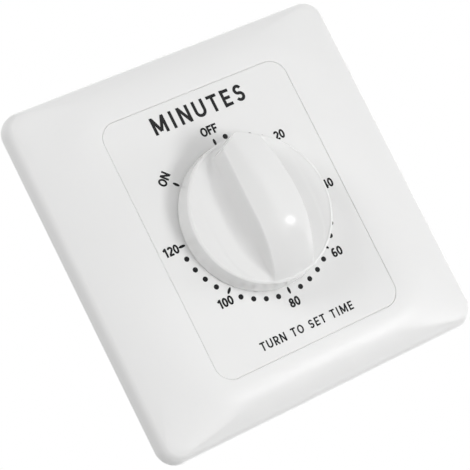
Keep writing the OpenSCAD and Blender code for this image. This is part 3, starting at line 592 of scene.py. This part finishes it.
def knob_shell():
    """Top of the knob on a grid whose rows cross the disc and whose columns follow the grip's sides
    and crowd at its walls, then rings down the flared skirt, under its edge, up the inside and in to
    the hub, each with a share of the radius and a height."""
    sweep = np.radians(np.linspace(-90, 90, 221))
    rows = KNOB_R * np.sin(sweep)
    chord = KNOB_R * np.cos(sweep)[:, None]
    chord[[0, -1]] = 0
    half = np.minimum(grip_half(rows)[:, None], GRIP_SHARE * chord)
    wall = np.clip(WALL_BAND / np.maximum(half, 1e-9), 0, WALL_SHARE)
    crown = np.linspace(0, 1, 13)[None, :-1] * (1 - wall)
    closer = np.linspace(1, 0, 25) ** 2
    steep = 1 - wall * closer[None, :-1]
    outward = np.concatenate([NEAR_FOOT * np.linspace(0, 1, 25)[:-1] ** 1.7, 1 - (1 - NEAR_FOOT) * closer])
    foot = half + (chord - half) * outward[None]
    right = np.concatenate([half * crown, half * steep, foot], axis=1)
    x = np.concatenate([-right[:, :0:-1], right], axis=1)
    y = np.broadcast_to(rows[:, None], x.shape)
    top = np.stack([x, y, knob_height(x, y)], axis=-1)
    edge = np.concatenate([top[:, -1], top[::-1, 0]])
    flat = edge[:, :2] / KNOB_R
    outside = [[1 + 0.25 * FLARE, CEILING], [1 + 0.62 * FLARE, 0.0105], [1 + 0.90 * FLARE, 0.0090],
               [1 + 0.95 * FLARE, KNOB_LOW + 0.0003], [1 + 0.90 * FLARE, KNOB_LOW + 0.0001],
               [1 + 0.65 * FLARE, KNOB_LOW]]
    inside = [[0.92, KNOB_LOW], [0.910, KNOB_LOW + 0.0002], [0.908, CEILING - 0.0003], [0.902, CEILING]]
    hub = [[0.30, CEILING], [0.288, CEILING - 0.0002], [0.288, KNOB_LOW], [0.19, KNOB_LOW],
           [0.178, 0.0105], [0.178, BORE_TOP], [0, BORE_TOP]]
    rings = np.array(outside + inside + hub)
    round_rings = np.broadcast_to(flat * KNOB_R, (len(rings), *flat.shape)) * rings[:, :1, None]
    heights = np.broadcast_to(rings[:, 1, None, None], (len(rings), len(flat), 1))
    skirt = np.concatenate([round_rings, heights], axis=-1)
    points = np.concatenate([top.reshape(-1, 3), edge, skirt.reshape(-1, 3)])
    under = grid_faces(len(rings) + 1, len(flat), round_columns=True)[:, ::-1] + x.size
    return stand_up(points), np.concatenate([grid_faces(*x.shape), under])


knob_white = white_moulding("polished_white_moulding", low=(0.775, 0.775, 0.770), high=(0.792, 0.792, 0.788),
                            matt=0.06, texture=0.0008, deep=0.000002, Subsurface_Weight=0.5,
                            Subsurface_Radius=(1, 1, 1), Subsurface_Scale=0.0015)
knob_points, knob_faces = knob_shell()
knob = piece("knob_shell", knob_points, knob_faces, knob_white, "rotor", "white_plastic")
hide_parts("knob")


# Stage: a plain white floor under the switch, soft lamps from below right, above left and beside it,
# and one more that shows only in reflections. Floor and world look white to the camera.
FLOOR_LOW = -0.50
FLOOR_HALF = 0.6
FLOOR_GLOW = 0.75
WORLD_LIGHT = 0.43
WORLD_BESIDE = 1.2
BESIDE_FROM = 0.12
BESIDE_TO = 0.34


def white_stage(tree, strength, beside):
    """Light strength that is 1 for rays from the camera and less for light. In reflections it is 1 too,
    and rises by beside towards the right, where the room is brighter."""
    seen = tree.node("LightPath", out="Is Camera Ray")
    glossy = tree.node("LightPath", out="Is Glossy Ray")
    through = tree.node("LightPath", out="Is Transmission Ray")
    plain = tree.node("Clamp", None, {"Value": seen + glossy + through})
    across = tree.node("SeparateXYZ", None, {0: tree.node("TexCoord", out="Generated")}, out="X")
    right = tree.node("MapRange", {"interpolation_type": "SMOOTHSTEP"},
                      {"Value": across, "From Min": BESIDE_FROM, "From Max": BESIDE_TO,
                       "To Min": 0.0, "To Max": beside})
    return strength + (1 - strength) * plain + right * glossy


corner = FLOOR_HALF * np.array([[-1, -1], [1, -1], [1, 1], [-1, 1]])
mesh = bpy.data.meshes.new("floor")
mesh.from_pydata(np.column_stack([corner, np.full(4, FLOOR_LOW)]).tolist(), [], [(0, 1, 2, 3)])
paper, tree, shader = new_finish("white_paper", Base_Color=(0.88, 0.88, 0.88, 1), Roughness=0.9)
glow = tree.node("Emission", None, {"Color": (1, 1, 1, 1), "Strength": 1.0})
seen = tree.node("LightPath", out="Is Camera Ray") + tree.node("LightPath", out="Is Glossy Ray")
lit = Wire(paper.node_tree, shader.outputs[0])
surface = tree.node("MixShader", None, {0: FLOOR_GLOW * seen, 1: lit, 2: glow})
surface.to(paper.node_tree.nodes["Material Output"].inputs["Surface"])
mesh.materials.append(paper)
floor = bpy.data.objects.new("floor", mesh)
bpy.context.collection.objects.link(floor)

world = bpy.data.worlds.new("studio")
world.use_nodes = True
bpy.context.scene.world = world
sky = world.node_tree.nodes["Background"]
sky.inputs["Color"].default_value = (1, 1, 1, 1)
white_stage(Wire(world.node_tree), WORLD_LIGHT, WORLD_BESIDE).to(sky.inputs["Strength"])


def soft_lamp(name, place, wide, high, power, shown=False):
    """Oval soft box that faces the switch. One that is shown is only mirrored in shiny surfaces, and
    the others only light it."""
    lamp = bpy.data.lights.new(name, "AREA")
    lamp.shape = "ELLIPSE"
    lamp.size = wide
    lamp.size_y = high
    lamp.energy = power
    box = bpy.data.objects.new(name, lamp)
    box.location = place
    box.rotation_euler = (-Vector(place)).to_track_quat("-Z", "Y").to_euler()
    box.visible_glossy = shown
    box.visible_diffuse = not shown
    bpy.context.collection.objects.link(box)


soft_lamp("lamp_below", (0.200, -0.640, -0.330), wide=0.27, high=0.27, power=2.05)
soft_lamp("lamp_above", (-0.492, -0.352, 0.443), wide=0.30, high=0.30, power=1.95)
soft_lamp("lamp_beside", (0.66, -0.30, -0.20), wide=0.30, high=0.30, power=0.70)
soft_lamp("lamp_mirrored", (0.40, -0.56, -0.285), wide=0.28, high=0.14, power=0.62, shown=True)


# Viewpoint: a long lens from the left and slightly below, turned clockwise about its own axis.
# Nothing is out of focus.
EYE = Vector((-0.19523, -0.40666, -0.04738))
AIM = Vector((-0.005851, -0.008, -0.002428))
ROLL = math.radians(-26.561)
lens = bpy.data.cameras.new("viewpoint")
lens.sensor_width = 36
lens.lens = 151.8
lens.clip_start = 0.01
camera = bpy.data.objects.new("viewpoint", lens)
camera.location = EYE
camera.rotation_mode = "QUATERNION"
camera.rotation_quaternion = (AIM - EYE).to_track_quat("-Z", "Y") @ Quaternion((0, 0, 1), ROLL)
bpy.context.collection.objects.link(camera)
bpy.context.scene.camera = camera
bpy.context.scene.view_settings.view_transform = "Standard"
